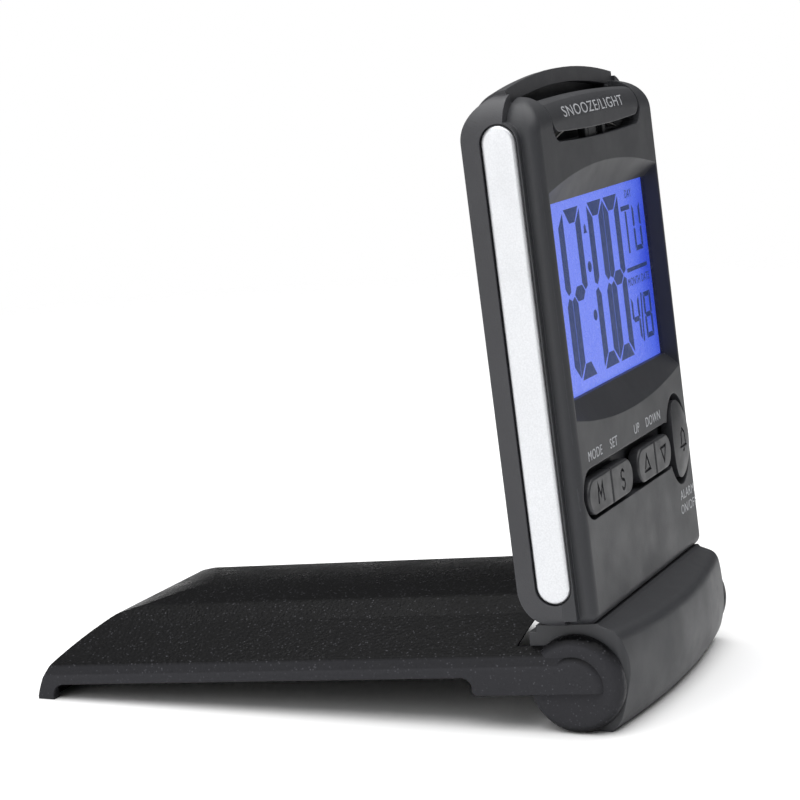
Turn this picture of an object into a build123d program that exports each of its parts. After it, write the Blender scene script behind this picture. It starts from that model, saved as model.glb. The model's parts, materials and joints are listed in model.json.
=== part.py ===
from build123d import *
import os

# Folding travel alarm clock: an upright display body on a hinge block, with a
# lid that opens 270 degrees and lies behind the body as its foot.
#
# Everything is drawn in the hinge frame: the hinge axis is the X axis through
# the origin, the body stands straight up along +Z with its display facing -Y,
# and the open lid lies along +Y. place() then leans the clock back and puts
# it on the ground. All lengths are millimetres.

os.makedirs("parts", exist_ok=True)

# ---- driving dimensions ----------------------------------------------------
WIDTH = 68.0            # across the lid and the hinge knuckles
BODY_WIDTH = 66.0       # across the body, which the lid's cheeks overlap
LEAN = 4.3              # backward lean of the body in use, degrees
HINGE_HEIGHT = 8.72     # hinge axis above the ground
KNUCKLE_R = 8.7         # lid knuckle discs
KNUCKLE_T = 3.7
FACE_Y = -5.1           # front of the bezel
PARTING_Y = 0.5         # joint between the bezel and the rear case
REAR_Y = 8.4            # back of the rear case
BEZEL_EDGE_R = 1.8      # long front edges of the bezel
BODY_BOTTOM = 10.4
BEZEL_TOP = 102.4       # crown of the bezel's top arch
REAR_TOP = 105.0        # crown of the rear case's top arch
BEZEL_ARCH_R = 455.0
REAR_ARCH_R = 169.0
WALL = 1.4              # moulded walls
LID_LENGTH = 109.2      # hinge axis to the tip of the lid
LID_CROWN = 13.3        # highest line of the lid above the hinge plane
LID_EDGE = 2.1          # lower edge of the lid's side walls
LID_END_R = 24.0        # the lid curves down to its tip on this radius
LID_WALL = 1.2
ARM_R = 5.5             # rounded nose of the lid's arms around the hinge
ARM_REACH = 10.0
CELL_R = 5.2            # AAA cell
CELL_LENGTH = 44.0
BUTTON_TRAVEL = 0.7
BUTTON_PROUD = 0.5      # caps above the bezel face
PLAY = 0.15             # sliding clearance around button stems

# ---- derived places --------------------------------------------------------
LID_HALF = WIDTH / 2
HALF = BODY_WIDTH / 2
BEZEL_HALF = HALF - 1.4
LEDGE_Y = -2.0          # front of the ledge that carries the closed lid
BEZEL_INNER_Y = FACE_Y + WALL
REAR_INNER_Y = REAR_Y - WALL
BLOCK_HALF = LID_HALF - KNUCKLE_T - 0.2
SWEEP_R = 14.8          # lid edge stays outside this radius between the knuckles
SWEEP_END_R = 12.8      # the same, beside the knuckles
SWEEP_FLAT = 14.0       # half-width over which the full radius holds
NOSE_PROUD = 0.8        # rounded nose of each arm beyond its knuckle disc
RIDGE_R = 2.8           # rounding along the top of the hinge cover
CHEEK_Z = -1.2          # lower edge of the lid's cheeks

STRIP_Y = (-1.45, 4.8)  # silver side trims
STRIP_Z = (14.65, 97.75)

WINDOW_HALF = 29.6      # display opening at the display plane
WINDOW_Z = (48.5, 82.9)
WINDOW_Y = FACE_Y + 2.64

CAP_Z = (28.8, 35.2)    # mode, set, up and down caps
CAP_SPANS = {
    "mode_button": (-29.2, -17.2),
    "set_button": (-16.9, -5.4),
    "up_button": (-2.0, 7.8),
    "down_button": (8.1, 17.6),
}
ALARM_CENTRE = (23.6, 32.6)
ALARM_SIZE = (9.6, 15.0)
POCKET_DEPTH = 2.4
POCKET_FLOOR_Y = FACE_Y + POCKET_DEPTH

SNOOZE_HALF = 23.4
SNOOZE_BOTTOM = 94.6
SNOOZE_TRAVEL = 0.8
SNOOZE_DROP = 1.3       # the bar's crown sits this far below the bezel's
SNOOZE_SLOT = 0.9       # extra width of the slot between the bar and the rear case
HOOD_LIP = 2.0          # thickness of the hood over the undercut behind the bar
HOOD_FLOOR = 100.4      # floor of that undercut

BOARD_Y = (1.0, 2.0)
BOARD_Z = (26.4, 90.0)
BOARD_HALF = 29.8
CELL_Y = 1.75
CELL_Z = 20.1

PIN_R = 1.5
PIN_REACH = 6.0         # pin length inside the hinge block


# ---- small drawing helpers -------------------------------------------------
def block(x, y, z):
    """Box between pairs of limits."""
    middle = Pos((x[0] + x[1]) / 2, (y[0] + y[1]) / 2, (z[0] + z[1]) / 2)
    return middle * Box(x[1] - x[0], y[1] - y[0], z[1] - z[0])


def front_prism(sketch, y):
    """Sketch drawn in X and Z, filled between two depths."""
    return extrude(Plane.XZ.offset(-y[1]) * sketch, y[1] - y[0])


def side_prism(sketch, x):
    """Sketch drawn in Y and Z, filled between two widths."""
    return extrude(Plane.YZ.offset(x[0]) * sketch, x[1] - x[0])


def plan_prism(sketch, z):
    """Sketch drawn in X and Y, filled between two heights."""
    return extrude(Plane.XY.offset(z[0]) * sketch, z[1] - z[0])


def x_rod(radius, x, y, z):
    """Round bar along X."""
    middle = Pos((x[0] + x[1]) / 2, y, z)
    return middle * Rot(0, 90, 0) * Cylinder(radius, x[1] - x[0])


def y_rod(radius, x, y, z):
    """Round bar along Y."""
    middle = Pos(x, (y[0] + y[1]) / 2, z)
    return middle * Rot(90, 0, 0) * Cylinder(radius, y[1] - y[0])


def filled(*lines):
    return make_face(Wire(list(lines)))


def closed_polygon(points):
    return make_face(Polyline(*points, close=True))


def stadium(x, z):
    """Pill outline with its round ends along the longer side."""
    width = x[1] - x[0]
    height = z[1] - z[0]
    middle = Pos((x[0] + x[1]) / 2, (z[0] + z[1]) / 2)
    if width > height:
        return middle * SlotOverall(width, height)
    return middle * Rot(0, 0, 90) * SlotOverall(height, width)


def mirrored(shape):
    return mirror(shape, Plane.YZ)


def arch_disc(crown, radius, y, front_round=0.0, rear_round=0.0):
    """Huge disc whose rim is the arched top of a case half."""
    disc = y_rod(radius, 0, y, crown - radius)
    rims = disc.edges().filter_by(GeomType.CIRCLE).sort_by(Axis.Y)
    if front_round:
        disc = fillet(rims[0], front_round)
    if rear_round:
        disc = fillet(disc.edges().filter_by(GeomType.CIRCLE).sort_by(Axis.Y)[-1], rear_round)
    return disc


def shoulder_outline(half, bottom, corner_top, corner_r, bottom_r):
    """Front view of a case half; its top runs above the arch that trims it."""
    corner_x = half - corner_r
    right = (half, corner_top)
    arc = CenterArc((corner_x, corner_top), corner_r, 0, 75)
    end = arc @ 1
    peak = (0, end.Y + end.X * 0.268)
    left_arc = CenterArc((-corner_x, corner_top), corner_r, 105, 75)
    sketch = filled(
        Line((half, bottom), right),
        arc,
        Line(end, peak),
        Line(peak, left_arc @ 0),
        left_arc,
        Line(left_arc @ 1, (-half, bottom)),
        Line((-half, bottom), (half, bottom)),
    )
    corners = sketch.vertices().sort_by(Axis.Y)[:2]
    return fillet(corners, bottom_r)


# ---- case halves -----------------------------------------------------------
def rear_shape(inset):
    """Solid form of the rear case, moved in by inset for its hollow."""
    half = HALF - inset
    bottom = BODY_BOTTOM + inset
    top = REAR_TOP - inset
    rear = REAR_Y - inset
    disc = arch_disc(top, REAR_ARCH_R - inset, (-6.0, rear), rear_round=6.5 - inset)
    outline = shoulder_outline(half, bottom, top - 8.8 + 0.4 * inset, 6.5 - inset, 2.5)
    sweep_in = 7.0 - inset
    profile = filled(
        Line((-6.0, bottom), (rear - sweep_in, bottom)),
        CenterArc((rear - sweep_in, bottom + sweep_in), sweep_in, -90, 90),
        Line((rear, bottom + sweep_in), (rear, 120)),
        Line((rear, 120), (-6.0, 120)),
        Line((-6.0, 120), (-6.0, bottom)),
    )
    return disc & front_prism(outline, (-6.0, rear)) & side_prism(profile, (-half, half))


def bezel_shape(inset):
    """Solid form of the bezel, moved in by inset for its hollow."""
    half = BEZEL_HALF - inset
    bottom = BODY_BOTTOM + inset
    top = BEZEL_TOP - inset
    front = FACE_Y + inset
    disc = arch_disc(top, BEZEL_ARCH_R - inset, (front, PARTING_Y), front_round=5.5 - inset)
    outline = shoulder_outline(half, bottom, top - 7.3, 6.2 - inset, 2.0)
    return disc & front_prism(outline, (front, PARTING_Y))


def side_ledge(sign):
    """Band that brings the bezel out to the full width along the trim."""
    centre_y = sum(STRIP_Y) / 2
    radius = centre_y - LEDGE_Y
    top = STRIP_Z[1] - (STRIP_Y[1] - STRIP_Y[0]) / 2
    profile = filled(
        Line((PARTING_Y, BODY_BOTTOM + 1.2), (LEDGE_Y, BODY_BOTTOM + 1.2)),
        Line((LEDGE_Y, BODY_BOTTOM + 1.2), (LEDGE_Y, top)),
        CenterArc((centre_y, top), radius, 180, -76),
        Line((centre_y + radius * -0.2419219, top + radius * 0.9702957), (PARTING_Y, top)),
        Line((PARTING_Y, top), (PARTING_Y, BODY_BOTTOM + 1.2)),
    )
    x = (BEZEL_HALF - 1.0, HALF) if sign > 0 else (-HALF, -BEZEL_HALF + 1.0)
    return side_prism(profile, x)


def screw_boss_places():
    """Case screws, X and Z."""
    return [(-27.6, 19.0), (27.6, 19.0), (-27.4, 90.8), (27.4, 90.8)]


def strip_outline(grow):
    """Side view of a side trim, drawn in Y and Z."""
    y = (STRIP_Y[0] - grow, STRIP_Y[1] + grow)
    z = (STRIP_Z[0] - grow, STRIP_Z[1] + grow)
    return stadium(y, z)


def strip_pockets():
    """Grooves in both case halves that seat the side trims."""
    right = side_prism(strip_outline(0.25), (HALF - 1.0, HALF + 1.0))
    return right + mirrored(right)


def bezel_edges_rounded():
    """Bezel form with its two long front edges rounded."""
    form = bezel_shape(0)
    upright = form.edges().filter_by(Axis.Z).filter_by(lambda e: e.center().Y < FACE_Y + 0.1)
    return fillet(upright, BEZEL_EDGE_R)


def make_bezel():
    outer = bezel_edges_rounded() + side_ledge(1) + side_ledge(-1)
    outer = outer - bezel_shape(WALL)
    # The hollow is open at the back, towards the rear case.
    outer = outer - block((-HALF, HALF), (PARTING_Y, 10), (0, 120))
    well = block((-31.2, 31.2), (FACE_Y + 0.6, WINDOW_Y + 1.0), (42.2, 89.2))
    well = well & bezel_shape(0.3)
    pocket_tub = front_prism(pocket_outline(1.2), (FACE_Y + 0.6, POCKET_FLOOR_Y + WALL))
    pocket_tub = pocket_tub & bezel_shape(0.3)
    snooze_tub = snooze_well(1.2) & bezel_shape(0.3)
    outer = outer + well + pocket_tub + snooze_tub
    outer = outer - window_cut() - snooze_well(0)
    outer = outer - front_prism(pocket_outline(0), (FACE_Y - 1, POCKET_FLOOR_Y))
    for outline in stem_outlines(PLAY):
        outer = outer - front_prism(outline, (FACE_Y, PARTING_Y))
    outer = outer - strip_pockets()
    outer = outer - x_rod(CELL_R + 0.15, (-24.4, 24.4), CELL_Y, CELL_Z)
    # Dark gap behind the snooze bar, where the closed lid hooks over the case.
    outer = outer - block((-SNOOZE_HALF, SNOOZE_HALF), (-0.2, PARTING_Y + 1), (100.4, 110))
    outer = outer - block((-2.3, 2.3), (-3.9, -1.3), (90, 93.5))
    for x in (-3.0, 6.5):
        outer = outer + block((x - 0.7, x + 0.7), (-3.6, -2.6), (92.6, 94.9))
    for x, z in screw_boss_places():
        post = y_rod(2.2, x, (BEZEL_INNER_Y - 0.3, PARTING_Y), z)
        outer = outer + (post & bezel_shape(0.4))
        outer = outer - y_rod(0.8, x, (FACE_Y + 2.0, PARTING_Y), z)
    return outer


def window_cut():
    """Display opening: square walls at the sides, scooped slopes above and below."""
    low, high = WINDOW_Z
    wide = WINDOW_HALF
    front = filled(
        Line((-wide, 46.0), (-wide, 85.2)),
        ThreePointArc((-wide, 85.2), (0, 88.3), (wide, 85.2)),
        Line((wide, 85.2), (wide, 46.0)),
        ThreePointArc((wide, 46.0), (0, 43.0), (-wide, 46.0)),
    )
    back = filled(
        Line((-wide, low), (-wide, high)),
        ThreePointArc((-wide, high), (0, high + 0.02), (wide, high)),
        Line((wide, high), (wide, low)),
        ThreePointArc((wide, low), (0, low - 0.02), (-wide, low)),
    )
    slopes = loft([Plane.XZ.offset(-FACE_Y + 0.02) * front, Plane.XZ.offset(-WINDOW_Y) * back])
    opening = block((-wide, wide), (WINDOW_Y - 0.3, PARTING_Y), (low, high))
    return slopes + opening


def pocket_outline(grow):
    """Recess around the five front buttons."""
    pill = stadium((-30.4 - grow, 21.0 + grow), (28.0 - grow, 37.0 + grow))
    oval = Pos(*ALARM_CENTRE) * Ellipse(ALARM_SIZE[0] / 2 + 1.5 + grow, ALARM_SIZE[1] / 2 + 1.3 + grow)
    return pill + oval


def cap_outline(name, shrink=0.0):
    """One half of a pill-shaped pair of caps."""
    pair = (-29.2, -5.4) if name in ("mode_button", "set_button") else (-2.0, 17.6)
    pill = stadium((pair[0] + shrink, pair[1] - shrink), (CAP_Z[0] + shrink, CAP_Z[1] - shrink))
    span = CAP_SPANS[name]
    return pill & (Pos(sum(span) / 2, sum(CAP_Z) / 2) * Rectangle(span[1] - span[0] - 2 * shrink, 10))


def stem_outlines(grow):
    """Square stems that carry the caps through the pocket floor."""
    outlines = []
    for span in CAP_SPANS.values():
        outlines.append(Pos(sum(span) / 2, sum(CAP_Z) / 2) * Rectangle(5 + 2 * grow, 3.4 + 2 * grow))
    outlines.append(Pos(*ALARM_CENTRE) * Rectangle(5 + 2 * grow, 7 + 2 * grow))
    return outlines


def snooze_outline(grow):
    """Front view of the snooze bar; its top runs past the case."""
    half = SNOOZE_HALF + grow
    low = SNOOZE_BOTTOM - grow
    return filled(
        Line((-half, 112), (-half, low + 3.0)),
        RadiusArc((-half, low + 3.0), (-half + 3.4, low + 0.45), -3.2),
        ThreePointArc((-half + 3.4, low + 0.45), (0, low), (half - 3.4, low + 0.45)),
        RadiusArc((half - 3.4, low + 0.45), (half, low + 3.0), -3.2),
        Line((half, low + 3.0), (half, 112)),
        Line((half, 112), (-half, 112)),
    )


def snooze_well(grow):
    """Recess under and behind the snooze bar."""
    outline = snooze_outline(0.45 + grow)
    drop = Pos(0, -1.25) * outline
    return front_prism(outline + drop, (FACE_Y - 1, PARTING_Y - 0.6 + grow))


def make_snooze_button():
    back = PARTING_Y - 0.8 - SNOOZE_SLOT
    crown = arch_disc(BEZEL_TOP - SNOOZE_DROP, BEZEL_ARCH_R, (FACE_Y, back), front_round=3.4)
    form = bezel_shape(0.1) & front_prism(snooze_outline(0), (FACE_Y, back)) & crown
    hollow = bezel_shape(1.3) & front_prism(snooze_outline(-1.2), (FACE_Y, back - 0.9))
    hollow = hollow + block((-SNOOZE_HALF + 3.4, SNOOZE_HALF - 3.4), (-3.8, -1.2), (90, 97))
    form = form - hollow
    stem = block((-2.0, 2.0), (-3.6, -1.6), (90.0, 99.0))
    foot = block((-2.0, 2.0), (-3.6, 0.4), (90.0, 90.9))
    return form + stem + foot


def lid_section(inset):
    """Cross-section of the lid, drawn in X and Z."""
    half = LID_HALF - inset
    if inset:
        half = BEZEL_HALF + 0.2
    low = -5.0
    knee = (20.6, 10.3 - inset * 1.07)
    ridge = (15.6 - inset * 0.3, LID_CROWN - 0.6 - inset)
    rim = (32.9 - (LID_HALF - half) * 0.9, 5.8 - inset * 1.07 + (LID_HALF - half) * 0.33)
    edge = (half, 3.7 - inset * 0.2)
    crown = (0, LID_CROWN - inset)
    sketch = filled(
        Line((half, low), edge),
        Line(edge, rim),
        Line(rim, knee),
        Line(knee, ridge),
        ThreePointArc(ridge, crown, (-ridge[0], ridge[1])),
        Line((-ridge[0], ridge[1]), (-knee[0], knee[1])),
        Line((-knee[0], knee[1]), (-rim[0], rim[1])),
        Line((-rim[0], rim[1]), (-edge[0], edge[1])),
        Line((-edge[0], edge[1]), (-half, low)),
        Line((-half, low), (half, low)),
    )
    if inset:
        return sketch

    def corners(point):
        near = Vector(*point)
        return [v for v in sketch.vertices() if (Vector(abs(v.X), v.Y) - near).length < 0.01]

    sketch = fillet(corners(edge), 1.6)
    sketch = fillet(corners(rim), 1.3)
    sketch = fillet(corners(knee), 3.0)
    return fillet(corners(ridge), 3.0)


def lid_profile(inset, start):
    """Side view of the lid, drawn in Y and Z, with its end curving down."""
    top = LID_CROWN - inset
    flat_end = (87.0, top)
    brow = (93.4, top - 0.44)
    knee = (99.5 - 0.4 * inset, LID_CROWN - 1.7 - 0.92 * inset)
    cheek = (105.5 - 0.77 * inset, 6.75 - 0.64 * inset)
    tip = (LID_LENGTH - 1.4 * inset, -0.25 * inset)
    return filled(
        Line((start, -5.0), (start, top)),
        Line((start, top), flat_end),
        ThreePointArc(flat_end, brow, knee),
        ThreePointArc(knee, cheek, tip),
        Line(tip, (tip[0], -5.0)),
        Line((tip[0], -5.0), (start, -5.0)),
    )


def sweep_barrel():
    """Round space that the hinge cover needs as the lid goes round it."""
    half = LID_HALF - KNUCKLE_T
    flat = SWEEP_FLAT
    profile = filled(
        Line((-half, 0), (-half, SWEEP_END_R)),
        Line((-half, SWEEP_END_R), (-flat, SWEEP_R)),
        Line((-flat, SWEEP_R), (flat, SWEEP_R)),
        Line((flat, SWEEP_R), (half, SWEEP_END_R)),
        Line((half, SWEEP_END_R), (half, 0)),
        Line((half, 0), (-half, 0)),
    )
    return revolve(Plane.XY * profile, Axis.X, 360)


def wall_foot():
    """What is cut away below the lid's side walls, in side view."""
    return filled(
        Line((-20, -6), (-20, CHEEK_Z)),
        Line((-20, CHEEK_Z), (17.9, CHEEK_Z)),
        ThreePointArc((17.9, CHEEK_Z), (18.75, -0.75), (18.9, 0.1)),
        ThreePointArc((18.9, 0.1), (19.4, 1.5), (20.9, LID_EDGE)),
        Line((20.9, LID_EDGE), (103.6, LID_EDGE)),
        ThreePointArc((103.6, LID_EDGE), (105.1, 1.4), (105.8, 0.0)),
        Line((105.8, 0.0), (105.8, -6)),
        Line((105.8, -6), (-20, -6)),
    )


def ground():
    """Everything below the ground, in the hinge frame."""
    slab = Pos(0, 50, -50 - HINGE_HEIGHT) * Box(200, 300, 100)
    return slab.rotate(Axis.X, LEAN)


def make_lid():
    shell = front_prism(lid_section(0), (0, 120)) & side_prism(lid_profile(0, 0), (-LID_HALF, LID_HALF))
    inner = front_prism(lid_section(LID_WALL), (-5, 120))
    inner = inner & side_prism(lid_profile(LID_WALL, -5), (-LID_HALF, LID_HALF))
    shell = shell - inner
    # The body's full width passes between the cheeks below the wall edges.
    shell = shell - block((-HALF - 0.15, HALF + 0.15), (10.2, LID_LENGTH - 3.4), (-6, LID_EDGE))
    shell = shell - side_prism(wall_foot(), (-LID_HALF - 1, LID_HALF + 1))
    shell = shell - sweep_barrel()
    # The panel's near edge stops behind the upright case.
    inside = LID_HALF - KNUCKLE_T
    shell = shell - block((-inside, inside), (-2, REAR_Y + 0.5), (8.5, LID_CROWN + 1))
    for sign in (1, -1):
        shell = shell + lid_arm(sign)
    pin_end = LID_HALF - KNUCKLE_T + 2.6
    return shell - x_rod(PIN_R, (-pin_end, pin_end), 0, 0) - ground()


def lid_arm(sign):
    """Hinge knuckle, and the arm that laps over it from a side wall."""
    inner = LID_HALF - KNUCKLE_T
    disc = x_rod(KNUCKLE_R, (inner, LID_HALF - NOSE_PROUD), 0, 0)
    disc = fillet(disc.edges().filter_by(GeomType.CIRCLE).sort_by(Axis.X)[-1], 2.1)
    nose = x_rod(ARM_R, (inner, LID_HALF), 0, 0)
    nose = fillet(nose.edges().filter_by(GeomType.CIRCLE).sort_by(Axis.X)[-1], 1.5)
    bar = block((inner, LID_HALF), (0, ARM_REACH), (-ARM_R, ARM_R)) & front_prism(lid_section(0), (-20, 20))
    below = block((inner - 1, LID_HALF + 1), (-20, ARM_REACH + 1), (-20, CHEEK_Z))
    hinge_end = disc + ((nose + bar) - below)
    return hinge_end if sign > 0 else mirrored(hinge_end)


def block_plan():
    """Plan of the hinge block with its two front corners rounded."""
    corner_r = 1.5
    right = CenterArc((BLOCK_HALF - corner_r, -7.5), corner_r, 0, -70)
    left = CenterArc((-BLOCK_HALF + corner_r, -7.5), corner_r, -110, -70)
    nose = (0, -24)
    return filled(
        Line((BLOCK_HALF, 12), right @ 0),
        right,
        Line(right @ 1, nose),
        Line(nose, left @ 0),
        left,
        Line(left @ 1, (-BLOCK_HALF, 12)),
        Line((-BLOCK_HALF, 12), (BLOCK_HALF, 12)),
    )


def make_hinge_block():
    front_r = 196.0
    bulge_y = -11.2
    axis_y = bulge_y + front_r
    profile = filled(
        Line((12, 12), (-10.24, 12)),
        Line((-10.24, 12), (-10.24, 9.4)),
        ThreePointArc((-10.24, 9.4), (bulge_y, 1.2), (-9.8, -5.6)),
        ThreePointArc((-9.8, -5.6), (-8.4, -8.0), (-6.0, -9.8)),
        Line((-6.0, -9.8), (12, -9.8)),
        Line((12, -9.8), (12, 12)),
    )
    turned = revolve(Plane.YZ * profile, Axis((0, axis_y, 0), (0, 0, 1)), 24)
    turned = turned.rotate(Axis((0, axis_y, 0), (0, 0, 1)), -12)
    limits = filled(
        Line((-4.6, BODY_BOTTOM), (-5.0, 9.9)),
        Line((-5.0, 9.9), (-16, 5.5)),
        Line((-16, 5.5), (-16, -12)),
        Line((-16, -12), (2.6, -12)),
        Line((2.6, -12), (2.6, -8.9)),
        ThreePointArc((2.6, -8.9), (6.4, -6.1), (REAR_Y, -1.5)),
        Line((REAR_Y, -1.5), (REAR_Y, BODY_BOTTOM)),
        Line((REAR_Y, BODY_BOTTOM), (-4.6, BODY_BOTTOM)),
    )
    form = turned & side_prism(limits, (-BLOCK_HALF - 6, BLOCK_HALF + 6))
    ridge = form.edges().filter_by(lambda e: e.length > 40 and e.center().Y < -8 and 6.5 < e.center().Z < 9)
    form = fillet(ridge, RIDGE_R)
    # The rear corner is cut back under the case's rounded lower edge.
    form = form - block((-40, 40), (6.9, 10), (9.2, 12))
    form = form & plan_prism(block_plan(), (-12, 12))
    hollow = block((-22, 22), (-6.6, 6.2), (-6.4, 8.2))
    form = form - hollow
    for sign in (1, -1):
        x = (21, BLOCK_HALF + 1) if sign > 0 else (-BLOCK_HALF - 1, -21)
        form = form - x_rod(PIN_R + 0.05, x, 0, 0)
    return form - ground()


# ---- rear case and what it holds -------------------------------------------
DOOR_X = (-24.0, 24.0)
DOOR_Z = (14.7, 25.6)


def make_rear_case():
    outer = rear_shape(0)
    band = arch_disc(REAR_TOP + 0.7, REAR_ARCH_R + 0.7, (PARTING_Y + 0.6, REAR_Y), rear_round=7.2)
    outer = outer + (band & block((-27.8, 27.8), (0, 12), (92, 110)))
    outer = outer - block((-40, 40), (-10, PARTING_Y), (0, 120))
    outer = outer - (rear_shape(WALL) & block((-40, 40), (-10, 12), (0, HOOD_FLOOR - 1.2)))
    # The closed lid's hook drops into this step.
    outer = outer - block((-27.8, 27.8), (-1, PARTING_Y + 0.6), (101.0, 110))
    # Undercut of the hood above the snooze bar.
    crown = REAR_TOP - HOOD_LIP
    undercut = arch_disc(crown, REAR_ARCH_R - HOOD_LIP, (PARTING_Y - 1, PARTING_Y + 2.8))
    outer = outer - (undercut & block((-SNOOZE_HALF, SNOOZE_HALF), (-1, 12), (HOOD_FLOOR, 110)))
    for x, z in screw_boss_places():
        post = y_rod(2.4, x, (PARTING_Y, REAR_Y - 0.6), z)
        outer = outer + (post & rear_shape(0.5))
    # Battery bay: a shelf above the cell and a wall at each end.
    bay = block((-25.1, 25.1), (2.2, REAR_INNER_Y + 0.3), (25.75, 26.75))
    for x in (-25.1, 24.5):
        bay = bay + block((x, x + 0.6), (-1.1, REAR_INNER_Y + 0.3), (13.0, 26.3))
    outer = outer + bay
    for x, z in screw_boss_places():
        outer = outer - y_rod(0.95, x, (PARTING_Y - 1, REAR_Y), z)
        outer = outer - y_rod(1.9, x, (REAR_Y - 1.8, REAR_Y + 1), z)
    outer = outer - door_zone(0)
    for row in range(-2, 3):
        for column in range(-2, 3):
            if abs(row) + abs(column) < 4:
                outer = outer - y_rod(0.6, 3.2 * column, (REAR_Y - 3, REAR_Y + 1), 62 + 3.2 * row)
    # Finger notch above the door latch.
    outer = outer - y_rod(3.0, 0, (REAR_Y - 0.7, REAR_Y + 1), DOOR_Z[1] + 1.2)
    outer = outer - strip_pockets()
    return outer


def door_zone(inset):
    """Region of the rear wall that the battery door fills."""
    x = (DOOR_X[0] + inset, DOOR_X[1] - inset)
    return block(x, (5.0, 12), (DOOR_Z[0] + inset, DOOR_Z[1] - inset))


def make_battery_door():
    skin = rear_shape(0) - rear_shape(WALL)
    door = skin & door_zone(0.15)
    ribs = block((-5, 5), (REAR_Y - 0.3, REAR_Y + 0.35), (20.6, 21.1))
    for lift in (1.1, 2.2):
        ribs = ribs + Pos(0, 0, lift) * block((-5, 5), (REAR_Y - 0.3, REAR_Y + 0.35), (20.6, 21.1))
    tongue = block((-3.5, 3.5), (REAR_INNER_Y - 0.9, REAR_INNER_Y + 0.2), (23.4, 25.3))
    return door + ribs + tongue


def make_side_trim(sign):
    pill = side_prism(strip_outline(0), (HALF - 0.95, HALF + 0.05))
    outer = pill.faces().sort_by(Axis.X)[-1]
    pill = fillet(outer.edges(), 0.7)
    return pill if sign > 0 else mirrored(pill)


def make_display_window():
    low, high = WINDOW_Z
    pane = (WINDOW_HALF - 0.1, high - 0.1, low + 0.1)
    plate = block((-pane[0], pane[0]), (WINDOW_Y + 0.05, WINDOW_Y + 0.75), (pane[2], pane[1]))
    return chamfer(plate.faces().sort_by(Axis.Y)[0].edges(), 0.15)


LCD_Y = (WINDOW_Y + 0.8, WINDOW_Y + 2.1)


def make_lcd_panel():
    low, high = WINDOW_Z
    middle = sum(LCD_Y) / 2
    front_glass = block((-WINDOW_HALF + 0.1, WINDOW_HALF - 0.1), (LCD_Y[0], middle), (low + 0.1, high - 0.1))
    rear_glass = block((-WINDOW_HALF + 0.1, WINDOW_HALF - 0.1), (middle, LCD_Y[1]), (low + 0.1, high - 0.1))
    ledge = block((-WINDOW_HALF + 0.6, WINDOW_HALF - 0.6), (WINDOW_Y + 1.45, LCD_Y[1]), (46.4, low + 0.2))
    return front_glass + rear_glass + ledge


def make_light_guide():
    low, high = WINDOW_Z
    plate = block((-WINDOW_HALF + 0.3, WINDOW_HALF - 2.3), (LCD_Y[1], 0.7), (low + 0.2, high - 0.2))
    for x in (-20, 20):
        plate = plate + block((x - 1, x + 1), (-0.3, 0.7), (high - 0.3, high + 0.8))
    return plate


def make_display_frame():
    ring = block((-30.1, 30.1), (WINDOW_Y + 1.1, 0.95), (43.6, 86.4))
    ring = ring - block((-WINDOW_HALF, WINDOW_HALF), (-9, 9), (46.2, WINDOW_Z[1] + 1.0))
    return ring


def make_backlight_led():
    body = block((WINDOW_HALF - 2.2, WINDOW_HALF - 1.0), (-0.3, 0.6), (62.0, 66.0))
    legs = block((WINDOW_HALF - 1.9, WINDOW_HALF - 1.3), (0.6, 1.0), (62.4, 63.0))
    legs = legs + block((WINDOW_HALF - 1.9, WINDOW_HALF - 1.3), (0.6, 1.0), (65.0, 65.6))
    return body + legs


def make_connector_strip():
    strip = block((-26, 26), (LCD_Y[1], BOARD_Y[0]), (46.5, 48.3))
    return strip


def make_circuit_board():
    board = block((-BOARD_HALF, BOARD_HALF), BOARD_Y, BOARD_Z)
    for x, z in screw_boss_places():
        board = board - y_rod(2.8, x, (-1, 4), z)
    for x in (-24, 24):
        board = board - y_rod(0.9, x, (-1, 4), 44.8)
    return board


def make_keypad_membrane():
    sheet = block((-29.4, 29.4), (0.35, 0.95), (27.0, 41.0))
    for outline in stem_outlines(0.6):
        sheet = sheet + front_prism(outline, (-0.15, 0.4))
    for x, z in ((-27.6, 40.0), (27.6, 40.0)):
        sheet = sheet - y_rod(0.9, x, (-1, 4), z)
    return sheet


MARK_DEPTH = 0.35
MARK_WIDTH = 0.55


def mark(points, close=False):
    """Engraved line drawn in X and Z."""
    return trace(Polyline(*points, close=close), MARK_WIDTH)


def button_mark(name):
    span = CAP_SPANS.get(name, (0, 0))
    middle = Pos(sum(span) / 2, sum(CAP_Z) / 2)
    if name == "mode_button":
        return middle * mark([(-1.5, -1.6), (-1.1, 1.6), (0, -0.4), (1.1, 1.6), (1.5, -1.6)])
    if name == "set_button":
        upper = CenterArc((0, 0.8), 0.85, 20, 250)
        lower = CenterArc((0, -0.9), 0.85, 200, 250)
        return middle * (trace(upper, MARK_WIDTH) + trace(lower, MARK_WIDTH))
    if name == "up_button":
        return middle * mark([(-1.5, -1.2), (0, 1.6), (1.5, -1.2)], close=True)
    if name == "down_button":
        return middle * mark([(-1.5, 1.2), (0, -1.6), (1.5, 1.2)], close=True)
    dome = [(-1.6, -1.3), (-1.1, -0.4), (-1.0, 1.1), (0, 1.9), (1.0, 1.1), (1.1, -0.4), (1.6, -1.3)]
    bell = mark(dome, close=True)
    clapper = Pos(0, -2.1) * Circle(0.45)
    return Pos(*ALARM_CENTRE) * (bell + clapper)


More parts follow.
